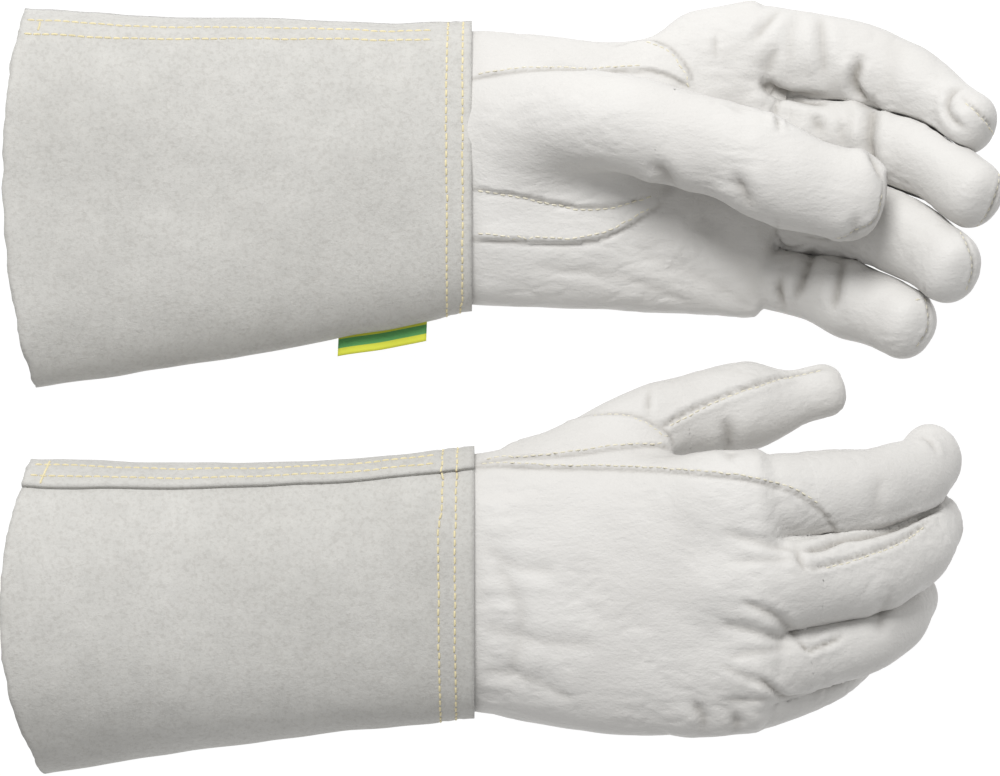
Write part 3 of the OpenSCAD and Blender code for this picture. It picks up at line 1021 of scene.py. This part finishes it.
# Open edge of the cuff: y centre, z centre, half width, height to the back and to the palm, squareness
MOUTH = {"left": (-8.8, -5.4, 65, 23, 23, 2.2), "right": (-13.2, -5.6, 53.2, 38, 38, 2.1)}
CUFF_LENGTH = 165.0
CUFF_BOW = {"left": 8.0, "right": 11.0}  # how far the middle of that edge stands out
CUFF_SLANT = 2.0  # how far its little-finger side is set back
# How far the middle of the cuff's outline sags in on the thumb side, and on the little-finger side
CUFF_DIP = {"left": (2.2, -1.8), "right": (4.0, 1.6)}
CUFF_WALL = 1.5
CUFF_OVER_HAND = 0.9
# Where the panels start and end round the cuff, in degrees: the palm panel laps over the back one
PANELS = {"left": {"cuff_back": (0, 180), "cuff_palm": (180, 362)},
          "right": {"cuff_back": (6, 180), "cuff_palm": (180, 393)}}
WRIST_ROWS = {"left": (-3.4, -8.7), "right": (-6.2, -12.0)}
SIDE_ROWS = {"left": (-19, -31), "right": (17, 27)}
ELASTIC_SPAN, ELASTIC_ARC = (14, 22), (45, 135)  # along the hand, and round its back in degrees
LABEL_SPAN, LABEL_REACH, LABEL_SEWN = (-47.5, -16), 7.5, 4  # along the cuff, out of the seam, inside it


def ring_point(ring, angle, off):
    yc, zc, wide, back, palm, square = ring
    c, s = np.cos(angle), np.sin(angle)
    y = (wide + off) * np.sign(c) * np.abs(c) ** (2 / square)
    z = (np.where(s > 0, back, palm) + off) * np.sign(s) * np.abs(s) ** (2 / square)
    return yc + y, zc + z


def cuff_point(hand, t, angle, off):
    """A point of the cuff: t is 0 at the wrist end and 1 at the open edge."""
    t, angle, off = np.broadcast_arrays(np.asarray(t, float), np.radians(angle), off)
    x = -t * CUFF_LENGTH
    mouth = MOUTH[hand]
    wrist = stations(hand, np.zeros(1))[:6, 0]
    y0, z0 = ring_point(wrist, angle, off + CUFF_OVER_HAND)
    y1, z1 = ring_point(mouth, angle, off)
    thumb_side, little_side = CUFF_DIP[hand]
    dip = np.where(np.cos(angle) > 0, thumb_side, -little_side) * np.sin(np.pi * t) * np.cos(angle) ** 2
    p = np.stack([x + t * (CUFF_BOW[hand] * np.cos(angle) ** 2 - CUFF_SLANT * np.cos(angle)),
                  y0 + (y1 - y0) * t - dip, z0 + (z1 - z0) * t], -1)
    flat = p.reshape(-1, 3)
    # The leather waves, and its cut edge is ragged
    ragged = soft((t.reshape(-1) - 0.93) / 0.07)
    wave = NOISE(flat * [0.6, 1, 1] + 31, 46) * 2.2 * soft(t.reshape(-1) * 4) + NOISE(flat + 7, 15) * 0.45
    out = np.stack([np.zeros(len(flat)), np.cos(angle).reshape(-1), np.sin(angle).reshape(-1)], 1)
    flat = flat + out * wave[:, None]
    flat[:, 0] += ragged * (NOISE(flat + 11, 9) * 0.7 + NOISE(flat + 3, 2.2) * 0.35)
    flat[:, 1] += ragged * NOISE(flat + 19, 40) * 1.5
    return flat.reshape(p.shape)


def add_cuff_panel(hand, name, material):
    start, end = PANELS[hand][name]
    rows, columns = 84, int((end - start) / 2.25)
    t = np.linspace(1, 0, rows)
    angle = np.linspace(start, end, columns)
    tt, aa = np.meshgrid(t, angle, indexing="ij")
    lift = np.zeros_like(tt)
    if name == "cuff_palm":  # it rides up over the back panel
        lift = (CUFF_WALL + 0.25) * soft((aa - 355) / 9)
    seam = -0.8 * hill(aa - 180, 2.2)  # the two panels turn in where they are sewn together
    for row in WRIST_ROWS[hand]:
        seam = seam - 0.35 * hill(tt * -CUFF_LENGTH - row, 1.3)
    outer = cuff_point(hand, tt, aa, lift + seam + CUFF_WALL)
    inner = cuff_point(hand, tt, aa, lift + np.minimum(seam, 0) * 0.3)
    verts = np.concatenate([outer.reshape(-1, 3), inner.reshape(-1, 3)])
    ids = np.arange(rows * columns).reshape(rows, columns)
    below = ids + rows * columns
    faces = [grid_faces(ids), np.roll(grid_faces(below)[:, ::-1], 1, axis=1)]
    rims = ((ids[0], below[0]), (below[-1], ids[-1]), (below[:, 0], ids[:, 0]), (ids[:, -1], below[:, -1]))
    for a, b in rims:
        faces.append(np.stack([a[:-1], a[1:], b[1:], b[:-1]], 1))
    faces = np.concatenate(faces)
    if hand == "right":
        faces = faces[:, ::-1]
    panel = make_object(f"{hand}_{name}_panel", to_part(hand, verts), faces)
    panel.data.validate()
    dress(panel, material)
    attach(panel, f"{hand}_hand")
    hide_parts(f"{hand}_{name}")
    return panel


def add_cuff_threads(hand, panels, material):
    trees = [tree_of(p) for p in panels]
    above = 4.0  # from where the lines are laid onto the leather
    round_wrist, along_side = np.linspace(0, 360, 240), np.linspace(0.09, 0.985, 130)
    wrist = [cuff_point(hand, -row / CUFF_LENGTH, round_wrist, above) for row in WRIST_ROWS[hand]]
    side = [cuff_point(hand, along_side, angle, above) for angle in SIDE_ROWS[hand]]
    first, second = SIDE_ROWS[hand]
    for shift in (0, 3):  # the short rows across them at the open edge
        tack = np.linspace(first - 6, second + 4, 20) + shift
        side.append(cuff_point(hand, 0.955, tack, above))
    for name, lines in (("wrist", wrist), ("side", side)):
        made = []
        for line in lines:
            places, normals = surface_line(trees, to_part(hand, resample(line)))
            made.append(add_stitches(f"{hand}_cuff_{name}_thread", places, normals, CUFF_STITCH))
        thread = join(made)
        dress(thread, material)
        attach(thread, f"{hand}_hand")
        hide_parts(f"{hand}_cuff_{name}_stitching")


def join(objects):
    with bpy.context.temp_override(active_object=objects[0], selected_editable_objects=objects):
        bpy.ops.object.join()
    return objects[0]


def add_label(material):
    """A ribbon folded double, with both ends caught in the cuff's little-finger seam."""
    rows, columns = 30, 22
    x = np.linspace(*LABEL_SPAN, rows)
    s = np.linspace(0, 1, columns)  # along the ribbon, out on one leaf and back on the other
    reach = (1 - np.abs(2 * s - 1)) * (LABEL_REACH + LABEL_SEWN) - LABEL_SEWN
    leaf = np.where(s < 0.5, 0.35, -0.35) * np.minimum(1, (LABEL_REACH - reach) / 0.8 + 0.05)
    xx, rr = np.meshgrid(x, reach, indexing="ij")
    edge = cuff_point("left", -x / CUFF_LENGTH, 180, CUFF_WALL)
    y = edge[:, 1][:, None] - rr
    loose = soft(rr / LABEL_REACH)  # the free end hangs and ripples
    z = edge[:, 2][:, None] + leaf[None] - 0.9 * loose + 0.35 * np.sin(xx / 5) * loose
    verts = np.stack([xx - 0.04 * rr, y, z], -1).reshape(-1, 3)
    faces = grid_faces(np.arange(rows * columns).reshape(rows, columns))
    label = make_object("left_label_ribbon", to_part("left", verts), faces)
    set_attribute(label, "stripe", soft((1.6 - np.abs(rr - 2.6)) / 0.5).reshape(-1))
    label.modifiers.new("thickness", "SOLIDIFY").thickness = 0.2 * MM
    dress(label, material)
    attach(label, "left_hand")
    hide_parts("left_size_label")


def add_elastic(hand, material):
    """The gathered strip inside the back of the wrist."""
    rows, columns = 90, 7
    angle = np.radians(np.linspace(*ELASTIC_ARC, rows))
    x = np.linspace(*ELASTIC_SPAN, columns)
    aa, xx = np.meshgrid(angle, x, indexing="ij")
    ring = [v[None] for v in stations(hand, x)]
    y, z = ring_point(ring[:6], aa, -3.4 + 0.35 * np.sin(aa * 60))
    verts = np.stack([xx, y, z], -1).reshape(-1, 3)
    faces = grid_faces(np.arange(rows * columns).reshape(rows, columns))
    elastic = make_object(f"{hand}_wrist_elastic_strip", to_part(hand, verts), faces)
    elastic.modifiers.new("thickness", "SOLIDIFY").thickness = 0.9 * MM
    dress(elastic, material)
    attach(elastic, f"{hand}_hand")
    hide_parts(f"{hand}_wrist_elastic")


# -------------------- both gloves

def add_glove(hand, looks):
    glove = Glove(hand)
    skins = add_skins(glove)
    for skin in skins.values():
        dress(skin, looks["leather"])
    add_hand_threads(glove, skins, looks["cream"])
    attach(skins["hand"], f"{hand}_hand")
    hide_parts(*(f"{hand}_{node}" for node in ("hand_back", "hand_palm", "thumb_gusset")))
    for digit in glove.digits:
        blend_digit(skins[digit.name], digit)
        pieces = ("back", "front") if digit.kind == "thumb" else ("back", "front", "fourchette")
        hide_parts(*(f"{hand}_{digit.name}_{piece}" for piece in pieces))
    panels = [add_cuff_panel(hand, name, looks["split"]) for name in ("cuff_back", "cuff_palm")]
    add_cuff_threads(hand, panels, looks["yellow"])
    add_elastic(hand, looks["elastic"])


add_camera()
add_studio()
looks = {
    "leather": grain_leather(),
    "split": split_leather(),
    # hole: the colour of the painted shade where a stitch goes into the leather
    "yellow": thread_material("yellow_thread", (0.72, 0.64, 0.40), hole=(0.30, 0.20, 0.11)),
    "cream": thread_material("cream_thread", (0.72, 0.68, 0.55), hole=(0.50, 0.45, 0.38)),
    "elastic": thread_material("elastic", (0.62, 0.62, 0.60)),
}
for hand in ("left", "right"):
    add_glove(hand, looks)
add_label(label_material())
